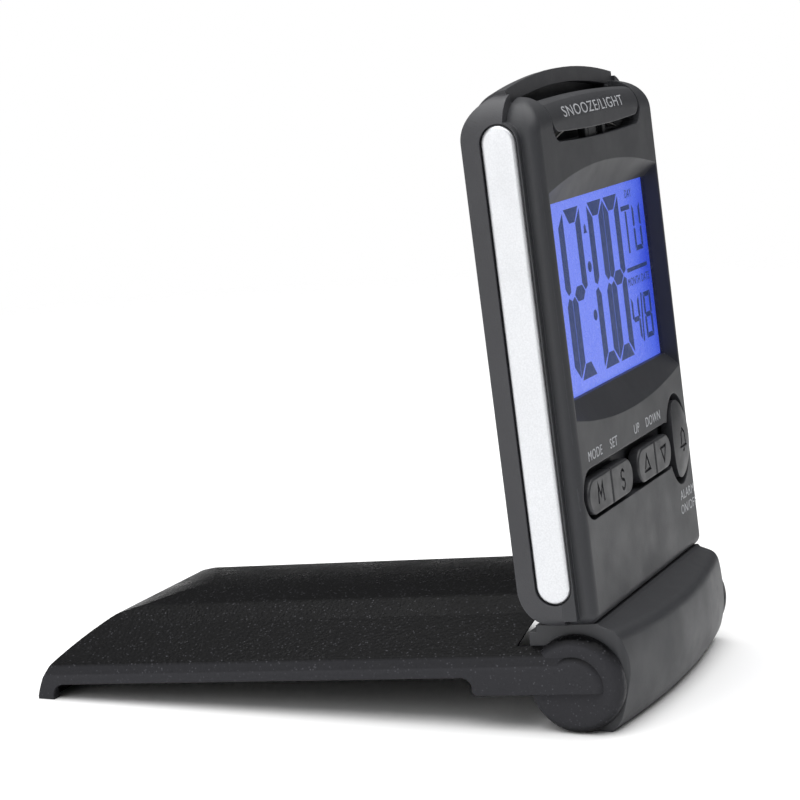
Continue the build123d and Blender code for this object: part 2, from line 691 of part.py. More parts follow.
def make_cap(name):
    """Front button: cap, engraved mark and the stem through the pocket floor."""
    front = FACE_Y - BUTTON_PROUD
    back = POCKET_FLOOR_Y - BUTTON_TRAVEL - 0.1
    cap = front_prism(cap_outline(name), (front, back))
    rim = cap.faces().sort_by(Axis.Y)[0]
    cap = fillet(rim.edges(), 0.45)
    cap = cap - front_prism(button_mark(name), (front - 1, front + MARK_DEPTH))
    middle = Pos(sum(CAP_SPANS[name]) / 2, sum(CAP_Z) / 2)
    stem = front_prism(middle * Rectangle(5, 3.4), (back - 0.2, -1.0))
    return cap + stem


def make_alarm_button():
    back = POCKET_FLOOR_Y - BUTTON_TRAVEL - 0.1
    crown = FACE_Y - BUTTON_PROUD - 0.6
    outline = Pos(*ALARM_CENTRE) * Ellipse(ALARM_SIZE[0] / 2, ALARM_SIZE[1] / 2)
    dome_r = 28.0
    dome = Pos(ALARM_CENTRE[0], crown + dome_r, ALARM_CENTRE[1]) * Sphere(dome_r)
    cap = front_prism(outline, (crown - 1, back)) & dome
    cap = cap - front_prism(button_mark("alarm_button"), (crown - 1, crown + MARK_DEPTH + 0.05))
    stem = front_prism(Pos(*ALARM_CENTRE) * Rectangle(5, 7), (back - 0.2, -1.0))
    return cap + stem


def make_snooze_spring():
    """Two sprung leaves, one each side of the stem."""
    foot = SNOOZE_BOTTOM - 1.15
    arch = ThreePointArc((-17.0, foot), (0, foot + 2.4), (17.0, foot))
    strip = front_prism(trace(arch, 0.25), (-2.4, -1.4))
    return strip - block((-2.4, 2.4), (-5, 5), (90, 100))


def make_snooze_switch():
    body = block((-3, 3), (-1.3, BOARD_Y[0]), (86.6, 88.6))
    return body + block((-1, 1), (-0.9, 0.1), (88.6, 89.05))


def make_controller():
    """Bonded chip under a domed blob of resin."""
    dome = Pos(-6, BOARD_Y[1] - 5.6, 62) * Sphere(7.0)
    return dome & block((-20, 10), (BOARD_Y[1], BOARD_Y[1] + 1.3), (50, 75))


def make_crystal():
    can = Pos(12, 2.95, 76) * Cylinder(0.95, 5.5)
    leads = block((11.4, 11.6), (2.0, 3.0), (72.2, 73.4)) + block((12.4, 12.6), (2.0, 3.0), (72.2, 73.4))
    return can + leads


def make_sounder():
    disc = y_rod(9.5, 0, (6.5, 6.75), 62)
    return disc + y_rod(7.2, 0, (6.3, 6.5), 62)


def make_sounder_ring():
    ring = y_rod(10.8, 0, (5.2, REAR_INNER_Y), 62)
    ring = ring - y_rod(9.55, 0, (6.4, REAR_INNER_Y + 1), 62)
    return ring - y_rod(8.6, 0, (4, 8), 62)


def make_battery_cell():
    can = x_rod(CELL_R, (-CELL_LENGTH / 2, CELL_LENGTH / 2), CELL_Y, CELL_Z)
    can = fillet(can.edges().filter_by(GeomType.CIRCLE), 0.5)
    return can + x_rod(1.8, (CELL_LENGTH / 2 - 0.1, CELL_LENGTH / 2 + 1.0), CELL_Y, CELL_Z)


def make_contact_plate():
    x = CELL_LENGTH / 2 + 1.0
    plate = block((x, x + 0.4), (-1.1, 5.5), (16.5, 23.7))
    return plate + block((x, x + 0.4), (1.2, 2.0), (23.6, 26.3))


def make_contact_spring():
    """Conical contact, drawn as stacked turns of wire on its plate."""
    x = -CELL_LENGTH / 2
    plate = block((x - 2.5, x - 2.1), (-1.1, 5.5), (16.5, 23.7))
    spring = plate + block((x - 2.5, x - 2.1), (1.2, 2.0), (23.6, 26.3))
    for turn in range(5):
        radius = 3.2 - 0.34 * turn
        place = Pos(x - 1.9 + 0.4 * turn, CELL_Y, CELL_Z) * Rot(0, 90, 0)
        ring = Torus(radius, 0.28)
        spring = spring + place * ring
    return spring


def make_case_screws():
    screws = []
    for x, z in screw_boss_places():
        head = y_rod(1.7, x, (REAR_Y - 1.75, REAR_Y - 0.7), z)
        head = fillet(head.edges().filter_by(GeomType.CIRCLE).sort_by(Axis.Y)[-1], 0.4)
        slot = block((x - 1.0, x + 1.0), (REAR_Y - 1.1, REAR_Y), (z - 0.2, z + 0.2))
        slot = slot + block((x - 0.2, x + 0.2), (REAR_Y - 1.1, REAR_Y), (z - 1.0, z + 1.0))
        shank = y_rod(0.75, x, (-2.6, REAR_Y - 1.7), z)
        screws.append(head - slot + shank)
    return Compound(children=screws)


# ---- hinge hardware ----------------------------------------------------------
def make_hinge_pin(sign):
    outer = LID_HALF - KNUCKLE_T + 2.6
    pin = x_rod(PIN_R, (BLOCK_HALF - PIN_REACH - 5.0, outer), 0, 0)
    return pin if sign > 0 else mirrored(pin)


def make_detent_cam(sign):
    """Collar on the pin with flats that hold the lid open and closed."""
    cam = x_rod(3.4, (BLOCK_HALF - PIN_REACH - 4.6, BLOCK_HALF - PIN_REACH - 2.3), 0, 0)
    cam = cam - block((0, 40), (-5, 5), (3.0, 5)) - block((0, 40), (-5, -3.0), (-5, 5))
    cam = cam - x_rod(PIN_R, (0, 40), 0, 0)
    return cam if sign > 0 else mirrored(cam)


def make_detent_leaf():
    """Spring strip above the cams, clamped at the middle."""
    strip = block((-21.8, 21.8), (-2.5, 2.5), (3.5, 3.8))
    for x in (-1, 1):
        strip = strip - Pos(6.0 * x, 0, 3.6) * Cylinder(0.9, 3)
    return strip


def make_leaf_clamp():
    """Moulded bridge that holds the detent leaf in the hinge block."""
    bar = block((-8.0, 8.0), (-2.5, 2.5), (3.8, 8.2))
    return bar + block((-8.0, 8.0), (2.5, 6.2), (5.0, 8.2))


# ---- assembly ----------------------------------------------------------------
def build_nodes():
    nodes = {
        "front_bezel": make_bezel(),
        "rear_case": make_rear_case(),
        "hinge_block": make_hinge_block(),
        "lid_shell": make_lid(),
        "side_trim_left": make_side_trim(-1),
        "side_trim_right": make_side_trim(1),
        "display_window": make_display_window(),
        "lcd_panel": make_lcd_panel(),
        "light_guide": make_light_guide(),
        "display_frame": make_display_frame(),
        "backlight_led": make_backlight_led(),
        "connector_strip": make_connector_strip(),
        "circuit_board": make_circuit_board(),
        "controller_chip": make_controller(),
        "clock_crystal": make_crystal(),
        "keypad_membrane": make_keypad_membrane(),
        "alarm_button": make_alarm_button(),
        "snooze_button": make_snooze_button(),
        "snooze_spring": make_snooze_spring(),
        "snooze_switch": make_snooze_switch(),
        "sounder_disc": make_sounder(),
        "sounder_ring": make_sounder_ring(),
        "battery_cell": make_battery_cell(),
        "battery_contact_plate": make_contact_plate(),
        "battery_contact_spring": make_contact_spring(),
        "battery_door": make_battery_door(),
        "case_screws": make_case_screws(),
        "hinge_pin_left": make_hinge_pin(-1),
        "hinge_pin_right": make_hinge_pin(1),
        "detent_cam_left": make_detent_cam(-1),
        "detent_cam_right": make_detent_cam(1),
        "detent_leaf": make_detent_leaf(),
        "leaf_clamp": make_leaf_clamp(),
    }
    for name in CAP_SPANS:
        nodes[name] = make_cap(name)
    return nodes


def place(shape, back):
    """Lean the clock back, lift it onto the ground and centre it in depth."""
    leaned = shape.rotate(Axis.X, -LEAN)
    return Pos(0, -back, HINGE_HEIGHT) * leaned


def main():
    nodes = build_nodes()
    leaned = [shape.rotate(Axis.X, -LEAN).bounding_box() for shape in nodes.values()]
    front = min(box.min.Y for box in leaned)
    rear = max(box.max.Y for box in leaned)
    middle = (front + rear) / 2
    for name, shape in nodes.items():
        export_step(place(shape, middle), f"parts/{name}.step")
    print(f"hinge axis at y {-middle:.4f}, z {HINGE_HEIGHT}")


main()
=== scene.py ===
"""Folding travel alarm clock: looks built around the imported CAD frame."""

import json
import math

import bmesh
import bpy
from mathutils import Matrix, Vector
from mathutils.bvhtree import BVHTree


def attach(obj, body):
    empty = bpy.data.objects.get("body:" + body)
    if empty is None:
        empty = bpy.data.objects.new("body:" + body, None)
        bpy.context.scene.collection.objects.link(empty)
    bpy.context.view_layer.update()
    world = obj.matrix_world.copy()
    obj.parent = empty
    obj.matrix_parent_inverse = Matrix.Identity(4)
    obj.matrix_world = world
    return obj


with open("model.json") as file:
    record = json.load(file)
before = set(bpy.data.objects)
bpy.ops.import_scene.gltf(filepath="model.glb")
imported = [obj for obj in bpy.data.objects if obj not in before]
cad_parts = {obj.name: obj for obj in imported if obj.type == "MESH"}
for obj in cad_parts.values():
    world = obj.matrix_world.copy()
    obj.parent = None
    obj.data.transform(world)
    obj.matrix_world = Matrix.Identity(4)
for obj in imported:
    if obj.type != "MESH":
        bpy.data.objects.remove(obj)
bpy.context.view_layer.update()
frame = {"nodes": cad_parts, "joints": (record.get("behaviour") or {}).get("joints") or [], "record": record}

MM = 0.001
joints = {joint["name"]: joint for joint in frame["joints"]}

# ---- the body's own frame ---------------------------------------------------
# Origin on the lid's hinge axis, Y into the body, Z up along the body.
HINGE = Vector(joints["lid_hinge"]["pos_m"])
INTO_BODY = Vector(joints["mode_press"]["axis"]).normalized()
UP_BODY = -Vector(joints["snooze_press"]["axis"]).normalized()
BODY = Matrix.Translation(HINGE) @ Matrix(
    (
        (1, INTO_BODY.x, UP_BODY.x, 0),
        (0, INTO_BODY.y, UP_BODY.y, 0),
        (0, INTO_BODY.z, UP_BODY.z, 0),
        (0, 0, 0, 1),
    )
)

FACE_Y = -5.1 * MM  # front of the bezel
LCD_FRONT_Y = -1.66 * MM  # front of the liquid-crystal glass
WINDOW_HALF = 29.6 * MM  # half-width of the display opening
CELL_BAND_X = 11.6 * MM  # where the cell's copper band starts
CELL_TIP_X = 21.6 * MM  # where its bare end starts
INK_THICKNESS = 0.03 * MM
INK_Y = FACE_Y - INK_THICKNESS / 2
DISPLAY_INK_Y = LCD_FRONT_Y - INK_THICKNESS / 2


# ---- node helpers -----------------------------------------------------------
class Shader:
    """A material's node tree, built one node at a time."""

    def __init__(self, name):
        self.material = bpy.data.materials.new(name)
        self.material.use_nodes = True
        self.tree = self.material.node_tree
        self.bsdf = self.tree.nodes["Principled BSDF"]
        self.place = self.tree.nodes.new("ShaderNodeTexCoord").outputs["Object"]

    def node(self, kind, **settings):
        node = self.tree.nodes.new(kind)
        for key, value in settings.items():
            setattr(node, key, value)
        return node

    def link(self, out, into):
        self.tree.links.new(out, into)
        return into

    def set(self, **values):
        for key, value in values.items():
            self.bsdf.inputs[key.replace("_", " ")].default_value = value

    def noise(self, scale, detail=3.0, rough=0.55, stretch=None):
        """Noise value between 0 and 1; scale is in features per metre."""
        texture = self.node("ShaderNodeTexNoise")
        texture.inputs["Scale"].default_value = scale
        texture.inputs["Detail"].default_value = detail
        texture.inputs["Roughness"].default_value = rough
        source = self.place
        if stretch:
            mapping = self.node("ShaderNodeMapping")
            mapping.inputs["Scale"].default_value = stretch
            self.link(source, mapping.inputs["Vector"])
            source = mapping.outputs["Vector"]
        self.link(source, texture.inputs["Vector"])
        return texture.outputs["Fac"]

    def cells(self, scale):
        """Distance to the nearest of scattered points."""
        texture = self.node("ShaderNodeTexVoronoi", feature="F1")
        texture.inputs["Scale"].default_value = scale
        self.link(self.place, texture.inputs["Vector"])
        return texture.outputs["Distance"]

    def remap(self, value, low, high, out_low=0.0, out_high=1.0):
        ramp = self.node("ShaderNodeMapRange")
        ramp.inputs["From Min"].default_value = low
        ramp.inputs["From Max"].default_value = high
        ramp.inputs["To Min"].default_value = out_low
        ramp.inputs["To Max"].default_value = out_high
        self.link(value, ramp.inputs["Value"])
        return ramp.outputs["Result"]

    def math(self, operation, first, second):
        node = self.node("ShaderNodeMath", operation=operation)
        for index, value in enumerate((first, second)):
            if isinstance(value, (int, float)):
                node.inputs[index].default_value = value
            else:
                self.link(value, node.inputs[index])
        return node.outputs[0]

    def mix(self, factor, first, second):
        """Colour mix; first and second are colours or outputs."""
        node = self.node("ShaderNodeMix", data_type="RGBA")
        self.link(factor, node.inputs["Factor"])
        for socket, value in ((node.inputs[6], first), (node.inputs[7], second)):
            if isinstance(value, tuple):
                socket.default_value = (*value, 1.0)
            else:
                self.link(value, socket)
        return node.outputs[2]

    def edge_mask(self, radius):
        """1 along convex and concave edges, 0 on open faces."""
        bevel = self.node("ShaderNodeBevel", samples=6)
        bevel.inputs["Radius"].default_value = radius
        flat = self.node("ShaderNodeNewGeometry").outputs["Normal"]
        dot = self.node("ShaderNodeVectorMath", operation="DOT_PRODUCT")
        self.link(bevel.outputs["Normal"], dot.inputs[0])
        self.link(flat, dot.inputs[1])
        return self.remap(dot.outputs["Value"], 0.985, 0.85)

    def bump(self, height, strength, distance, soften=None):
        node = self.node("ShaderNodeBump")
        node.inputs["Strength"].default_value = strength
        node.inputs["Distance"].default_value = distance
        self.link(height, node.inputs["Height"])
        if soften:
            bevel = self.node("ShaderNodeBevel", samples=6)
            bevel.inputs["Radius"].default_value = soften
            self.link(bevel.outputs["Normal"], node.inputs["Normal"])
        self.link(node.outputs["Normal"], self.bsdf.inputs["Normal"])


def fill_ramp(elements, stops):
    """Fills a new colour ramp with (position, colour) stops in rising order."""
    for element, (position, colour) in zip(elements, (stops[0], stops[-1])):
        element.position = position
        element.color = (*colour, 1)
    for position, colour in stops[1:-1]:
        elements.new(position).color = (*colour, 1)


# How much paler than their plastic the painted glints are: a painted highlight on sparse grains.
PAINTED_GLINT_LIFT = 22


def shade(colour, factor):
    """Colour made paler or darker, kept below white."""
    return tuple(min(1.0, channel * factor) for channel in colour)


def moulded_plastic(
    name, colour, rough, grain, depth, wear=0.5, soften=0.25 * MM, specular=0.5, spark=0.0, painted_side_light=1.0
):
    """Spark-eroded moulded plastic: fine grain, faint mottling, edges polished by handling and painted paler,
    partly as wear and partly as painted highlight.

    A side lift above 1 paints light on the upright walls: they are painted paler than the faces square to the
    object's Z.
    """
    shader = Shader(name)
    broad = shader.noise(55, 4)
    mottled = shader.mix(shader.remap(broad, 0.3, 0.7), shade(colour, 0.9), shade(colour, 1.12))
    fine = shader.noise(grain, 2, 0.6)
    speckled = shader.mix(shader.remap(fine, 0.35, 0.75), shade(colour, 0.86), mottled)
    # Painted light: the upright walls are painted paler than the faces square to the object's Z, as if lit
    # from the side.
    if painted_side_light > 1.0:
        split = shader.node("ShaderNodeSeparateXYZ")
        shader.link(shader.node("ShaderNodeTexCoord").outputs["Normal"], split.inputs["Vector"])
        upright = shader.remap(shader.math("ABSOLUTE", split.outputs["Z"], 0.0), 0.8, 0.3)
        speckled = shader.mix(upright, speckled, shade(colour, painted_side_light))
    edges = shader.edge_mask(0.45 * MM)
    worn_and_highlit = shader.math("MULTIPLY", edges, shader.remap(shader.noise(420, 3), 0.35, 0.7, 0.25, 1.0))
    worn_and_highlit = shader.math("MULTIPLY", worn_and_highlit, wear)
    # Partly wear, partly painted highlight: edges are painted paler than the plastic.
    base = shader.mix(worn_and_highlit, speckled, shade(colour, 2.1))
    patchy = shader.remap(shader.noise(140, 3), 0.3, 0.7, rough - 0.05, rough + 0.06)
    polished = shader.math("SUBTRACT", patchy, shader.math("MULTIPLY", worn_and_highlit, 0.18))
    if spark:
        # Painted highlight: sparse grains are painted far paler as glints; the same cells also lower the
        # roughness there.
        glints = shader.remap(shader.cells(grain * 0.8), 0.05, 0.3, spark, 0.0)
        polished = shader.math("SUBTRACT", polished, glints)
        clusters = shader.remap(shader.noise(900, 2), 0.45, 0.6, 0.0, 1.0 / spark)
        painted_glints = shader.math("MULTIPLY", glints, clusters)
        base = shader.mix(painted_glints, base, shade(colour, PAINTED_GLINT_LIFT))
    shader.link(base, shader.bsdf.inputs["Base Color"])
    shader.link(polished, shader.bsdf.inputs["Roughness"])
    pits = shader.math("ADD", fine, shader.math("MULTIPLY", shader.cells(grain * 0.7), 0.8))
    shader.bump(pits, 0.6, depth, soften)
    shader.set(Specular_IOR_Level=specular)
    return shader.material


def satin_metal(name, colour, rough, metallic=0.85, grain=3200, depth=0.01 * MM, stretch=None):
    """Silver paint or plated metal with a fine fleck."""
    shader = Shader(name)
    fleck = shader.noise(grain, 2, 0.7, stretch)
    broad = shader.noise(60, 3)
    base = shader.mix(shader.remap(fleck, 0.3, 0.75), shade(colour, 0.9), shade(colour, 1.08))
    base = shader.mix(shader.remap(broad, 0.3, 0.7, 0.0, 0.35), base, shade(colour, 0.92))
    shader.link(base, shader.bsdf.inputs["Base Color"])
    scuffed = shader.remap(shader.noise(260, 4), 0.3, 0.75, rough - 0.04, rough + 0.08)
    shader.link(scuffed, shader.bsdf.inputs["Roughness"])
    shader.bump(fleck, 0.35, depth, 0.2 * MM)
    shader.set(Metallic=metallic)
    return shader.material


def soft_rubber(name, colour, rough=0.55, wear=0.35):
    """Button rubber: dense, faintly dusty, smoother where fingers press."""
    shader = Shader(name)
    dust = shader.noise(900, 4, 0.7)
    base = shader.mix(shader.remap(dust, 0.4, 0.75), colour, shade(colour, 1.45))
    edges = shader.math("MULTIPLY", shader.edge_mask(0.3 * MM), wear)
    # Partly wear, partly painted highlight: the button edges are painted paler.
    base = shader.mix(edges, base, shade(colour, 2.2))
    shader.link(base, shader.bsdf.inputs["Base Color"])
    handled = shader.remap(shader.noise(300, 3), 0.3, 0.7, rough - 0.08, rough + 0.06)
    shader.link(handled, shader.bsdf.inputs["Roughness"])
    shader.bump(shader.noise(5200, 2), 0.35, 0.012 * MM, 0.15 * MM)
    return shader.material


def clear_window(name):
    """Thin clear plastic: almost no colour of its own, slightly uneven gloss."""
    shader = Shader(name)
    tint = shader.mix(shader.remap(shader.noise(200, 3), 0.3, 0.7), (0.03, 0.035, 0.05), (0.045, 0.05, 0.07))
    shader.link(tint, shader.bsdf.inputs["Base Color"])
    shader.link(shader.remap(shader.noise(500, 4), 0.4, 0.8, 0.03, 0.09), shader.bsdf.inputs["Roughness"])
    shader.bump(shader.noise(160, 2), 0.05, 0.01 * MM)
    shader.set(Alpha=0.06, Specular_IOR_Level=0.35)
    return shader.material


def lit_display(name):
    """Back-lit blue liquid-crystal glass, its glow darkened towards the right-hand edge as painted shade."""
    shader = Shader(name)
    split = shader.node("ShaderNodeSeparateXYZ")
    shader.link(shader.place, split.inputs["Vector"])
    across = shader.remap(split.outputs["X"], -WINDOW_HALF, WINDOW_HALF)
    # Painted shade: the glow is painted deeper and darker towards the right-hand edge, beside the window's
    # wall.
    cloud = shader.math("ADD", across, shader.remap(shader.noise(38, 2), 0.3, 0.7, -0.12, 0.12))
    ramp = shader.node("ShaderNodeValToRGB")
    glow_and_painted_shade = (
        (0.0, (0.17, 0.235, 0.86)),
        (0.55, (0.14, 0.21, 0.84)),
        (0.88, (0.09, 0.15, 0.78)),
        (1.0, (0.035, 0.07, 0.62)),
    )
    fill_ramp(ramp.color_ramp.elements, glow_and_painted_shade)
    shader.link(cloud, ramp.inputs["Fac"])
    shader.link(ramp.outputs["Color"], shader.bsdf.inputs["Emission Color"])
    grainy = shader.remap(shader.noise(2600, 2), 0.3, 0.7)
    base = shader.mix(grainy, (0.01, 0.014, 0.06), (0.012, 0.016, 0.07))
    shader.link(base, shader.bsdf.inputs["Base Color"])
    shader.link(shader.remap(shader.noise(700, 2), 0.3, 0.7, 0.22, 0.34), shader.bsdf.inputs["Roughness"])
    shader.bump(shader.noise(9000, 1), 0.1, 0.004 * MM)
    shader.set(Emission_Strength=1.05, Specular_IOR_Level=0.12)
    return shader.material


def segment_ink(name):
    """Dark liquid-crystal segments that still let some blue through."""
    shader = Shader(name)
    uneven = shader.remap(shader.noise(420, 3), 0.3, 0.7)
    tone = shader.mix(uneven, (0.034, 0.062, 0.2), (0.04, 0.07, 0.23))
    shader.link(tone, shader.bsdf.inputs["Emission Color"])
    dim = shader.mix(shader.noise(420, 3), (0.004, 0.006, 0.02), (0.006, 0.009, 0.03))
    shader.link(dim, shader.bsdf.inputs["Base Color"])
    shader.link(shader.remap(shader.noise(900, 2), 0.3, 0.7, 0.35, 0.5), shader.bsdf.inputs["Roughness"])
    shader.bump(shader.noise(9000, 1), 0.1, 0.002 * MM)
    shader.set(Emission_Strength=0.7, Specular_IOR_Level=0.1)
    return shader.material


def printed_ink(name, colour):
    """Pad-printed ink, slightly uneven and worn."""
    shader = Shader(name)
    patch = shader.noise(2600, 3, 0.7)
    base = shader.mix(shader.remap(patch, 0.35, 0.75), colour, shade(colour, 0.78))
    shader.link(base, shader.bsdf.inputs["Base Color"])
    shader.link(shader.remap(patch, 0.3, 0.7, 0.5, 0.65), shader.bsdf.inputs["Roughness"])
    shader.bump(patch, 0.3, 0.005 * MM)
    return shader.material


def solder_mask(name):
    """Green circuit board with faint copper tracks under the lacquer."""
    shader = Shader(name)
    brick = shader.node("ShaderNodeTexBrick", offset=0.5)
    brick.inputs["Scale"].default_value = 340
    brick.inputs["Mortar Size"].default_value = 0.08
    brick.inputs["Color1"].default_value = (0.012, 0.09, 0.03, 1)
    brick.inputs["Color2"].default_value = (0.018, 0.11, 0.035, 1)
    brick.inputs["Mortar"].default_value = (0.04, 0.2, 0.07, 1)
    shader.link(shader.place, brick.inputs["Vector"])
    cleaner = shader.remap(shader.noise(300, 3), 0.4, 0.8)
    base = shader.mix(cleaner, (0.02, 0.1, 0.035), brick.outputs["Color"])
    shader.link(base, shader.bsdf.inputs["Base Color"])
    shader.link(shader.remap(shader.noise(800, 2), 0.3, 0.7, 0.25, 0.4), shader.bsdf.inputs["Roughness"])
    shader.bump(brick.outputs["Fac"], 0.3, 0.02 * MM)
    return shader.material


def printed_sleeve(name):
    """Cell sleeve: dark lacquer, a copper band at one end and bare metal on the button."""
    shader = Shader(name)
    split = shader.node("ShaderNodeSeparateXYZ")
    shader.link(shader.place, split.inputs["Vector"])
    band = shader.remap(split.outputs["X"], CELL_BAND_X, CELL_BAND_X + 0.2 * MM)
    tip = shader.remap(split.outputs["X"], CELL_TIP_X, CELL_TIP_X + 0.1 * MM)
    base = shader.mix(band, (0.03, 0.035, 0.05), (0.5, 0.26, 0.11))
    base = shader.mix(tip, base, (0.6, 0.6, 0.6))
    base = shader.mix(shader.remap(shader.noise(900, 3), 0.5, 0.9, 0.0, 0.4), base, (0.2, 0.2, 0.2))
    shader.link(base, shader.bsdf.inputs["Base Color"])
    shader.link(shader.remap(shader.noise(500, 3), 0.3, 0.7, 0.25, 0.4), shader.bsdf.inputs["Roughness"])
    shader.bump(shader.noise(1500, 2), 0.2, 0.01 * MM)
    shader.set(Metallic=0.6)
    return shader.material


# ---- materials --------------------------------------------------------------
# One finish for each material slot of the record. A moulded plastic has its colour,
# roughness, grains per metre and grain depth, and a metal or rubber its colour and
# roughness.
FINISHES = {
    "case_front": moulded_plastic("case_front", (0.031, 0.032, 0.036), 0.48, 5200, 0.025 * MM, specular=0.36),
    "case_rear": moulded_plastic("case_rear", (0.032, 0.0325, 0.037), 0.5, 4600, 0.03 * MM, specular=0.5),
    "hinge_cover": moulded_plastic(
        "hinge_cover", (0.033, 0.034, 0.038), 0.48, 5000, 0.025 * MM, soften=0.35 * MM, specular=0.4
    ),
    "lid": moulded_plastic(
        "lid",
        (0.0034, 0.0034, 0.0038),
        0.3,
        1900,
        0.1 * MM,
        wear=0.8,
        specular=0.05,
        spark=0.1,
        # painted light: the lid's upright walls are painted nine times paler than its top
        painted_side_light=9.0,
    ),
    "trim": satin_metal("trim", (0.66, 0.67, 0.69), 0.36, metallic=0.75),
    "window": clear_window("window"),
    "lcd": lit_display("lcd"),
    "light_guide": printed_ink("light_guide", (0.5, 0.6, 0.95)),
    "inner_frame": moulded_plastic("inner_frame", (0.012, 0.012, 0.014), 0.6, 4200, 0.02 * MM),
    "led": printed_ink("led", (0.75, 0.8, 0.95)),
    "connector": soft_rubber("connector", (0.3, 0.2, 0.24)),
    "board": solder_mask("board"),
    "resin": soft_rubber("resin", (0.01, 0.01, 0.011), 0.3),
    "metal": satin_metal("metal", (0.62, 0.61, 0.58), 0.3, metallic=1.0, grain=2400, stretch=(1, 1, 6)),
    "membrane": soft_rubber("membrane", (0.3, 0.3, 0.31)),
    "buttons": soft_rubber("buttons", (0.015, 0.0155, 0.018), 0.45),
    "snooze": moulded_plastic("snooze", (0.038, 0.039, 0.043), 0.46, 5200, 0.02 * MM, wear=0.6, specular=0.3),
    "sounder": satin_metal("sounder", (0.72, 0.55, 0.25), 0.32, metallic=1.0),
    "cell": printed_sleeve("cell"),
}
LABEL_INK = printed_ink("label_ink", (0.4, 0.41, 0.43))
SEGMENTS = segment_ink("segments")

for part in frame["record"]["subparts"]:
    node = frame["nodes"][part["node"]]
    node.data.materials.clear()
    node.data.materials.append(FINISHES[part["material_slot"]])


# ---- mesh helpers -----------------------------------------------------------
def new_object(name, mesh, material):
    """New mesh object in the scene, in one material."""
    piece = bpy.data.objects.new(name, mesh)
    bpy.context.collection.objects.link(piece)
    piece.data.materials.append(material)
    return piece


def plates(name, outlines, y, thickness, material, body="case"):
    """Thin flat plates whose outlines are drawn in the body's X and Z, in metres."""
    builder = bmesh.new()
    for outline in outlines:
        front = [builder.verts.new(BODY @ Vector((x, y - thickness, z))) for x, z in outline]
        back = [builder.verts.new(BODY @ Vector((x, y, z))) for x, z in outline]
        builder.faces.new(front)
        builder.faces.new(list(reversed(back)))
        for index in range(len(outline)):
            following = (index + 1) % len(outline)
            builder.faces.new((front[following], front[index], back[index], back[following]))
    bmesh.ops.recalc_face_normals(builder, faces=builder.faces)
    mesh = bpy.data.meshes.new(name)
    builder.to_mesh(mesh)
    builder.free()
    piece = new_object(name, mesh, material)
    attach(piece, body)
    return piece


# Height of a capital letter in Blender's own font, as a share of the font's size.
CAPITAL_HEIGHT = 0.69


def lettering(name, words, x, z, height, y, material, body="case", stretch=1.0):
    """Flat printed word in Blender's own font, centred on x and z of the body's face."""
    curve = bpy.data.curves.new(name, "FONT")
    curve.body = words
    curve.size = height / CAPITAL_HEIGHT
    curve.align_x = "CENTER"
    curve.align_y = "CENTER"
    curve.extrude = INK_THICKNESS / 2
    curve.resolution_u = 6
    curve.space_character = 1.08
    source = bpy.data.objects.new(name + "_curve", curve)
    bpy.context.collection.objects.link(source)
    bpy.context.view_layer.update()
    drawn = source.evaluated_get(bpy.context.evaluated_depsgraph_get())
    mesh = bpy.data.meshes.new_from_object(drawn)
    bpy.data.objects.remove(source)
    upright = Matrix.Rotation(math.radians(90), 4, "X") @ Matrix.Diagonal((stretch, 1, 1, 1))
    mesh.transform(BODY @ Matrix.Translation((x, y, z)) @ upright)
    mesh.name = name
    piece = new_object(name, mesh, material)
    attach(piece, body)
    return piece


# How far in front of the surface each draping ray starts.
DRAPE_REACH = 30 * MM


def drape(piece, target, toward, lift):
    """Lays a flat piece on a CAD node's surface, along one direction in the body's frame."""
    direction = (BODY.to_3x3() @ Vector(toward)).normalized()
    tree = BVHTree.FromObject(target, bpy.context.evaluated_depsgraph_get())
    builder = bmesh.new()
    builder.from_mesh(piece.data)
    bmesh.ops.triangulate(builder, faces=builder.faces)
    long_edges = [edge for edge in builder.edges if edge.calc_length() > 0.5 * MM]
    bmesh.ops.subdivide_edges(builder, edges=long_edges, cuts=2, use_grid_fill=True)
    middle = sum((vert.co for vert in builder.verts), Vector()) / len(builder.verts)
    across = BODY.to_3x3() @ Vector((0, 1, 0))
    for vert in builder.verts:
        depth = (vert.co - middle).dot(across)
        start = vert.co - direction * DRAPE_REACH - across * depth
        hit = tree.ray_cast(start, direction)[0]
        if hit is None:
            continue
        vert.co = hit - direction * (lift - depth)
    builder.to_mesh(piece.data)
    builder.free()


# ---- display contents -------------------------------------------------------
def segment_outlines(x, z, width, height, stroke, lit):
    """Seven-segment figure with mitred ends; lit holds letters a to g."""
    half = stroke / 2
    gap = stroke * 0.1
    middle = z + height / 2
    left, right = x + half, x + width - half
    low, high = z + half, z + height - half
    spans = {
        "a": ((left, high), (right, high)),
        "d": ((left, low), (right, low)),
        "g": ((left, middle), (right, middle)),
        "f": ((left, middle), (left, high)),
        "b": ((right, middle), (right, high)),
        "e": ((left, low), (left, middle)),
        "c": ((right, low), (right, middle)),
    }
    outlines = []
    for letter in lit:
        (x1, z1), (x2, z2) = spans[letter]
        if letter == "g":
            outline = [
                (x1 + gap, z1),
                (x1 + half + gap, z1 + half),
                (x2 - half - gap, z1 + half),
                (x2 - gap, z1),
                (x2 - half - gap, z1 - half),
                (x1 + half + gap, z1 - half),
            ]
        elif letter in "ad":
            outer = z1 + half if letter == "a" else z1 - half
            inner = z1 - half if letter == "a" else z1 + half
            outline = [
                (x1 - half + 2 * gap, outer),
                (x2 + half - 2 * gap, outer),
                (x2 - half - gap, inner),
                (x1 + half + gap, inner),
            ]
        else:
            side = -half if letter in "ef" else half
            reach = 1 if letter in "bf" else -1
            end = z2 if letter in "bf" else z1
            outline = [
                (x1 + side, end + reach * (half - 2 * gap)),
                (x1 - side, end - reach * (half + gap)),
                (x1 - side, middle + reach * (half + gap)),
                (x1, middle + reach * gap),
                (x1 + side, middle + reach * half * 0.6),
            ]
        outlines.append(outline)
    return outlines


FIGURES = {"0": "abcdef", "1": "bc", "2": "abged", "4": "fgbc", "8": "abcdefg", "U": "bcdef"}

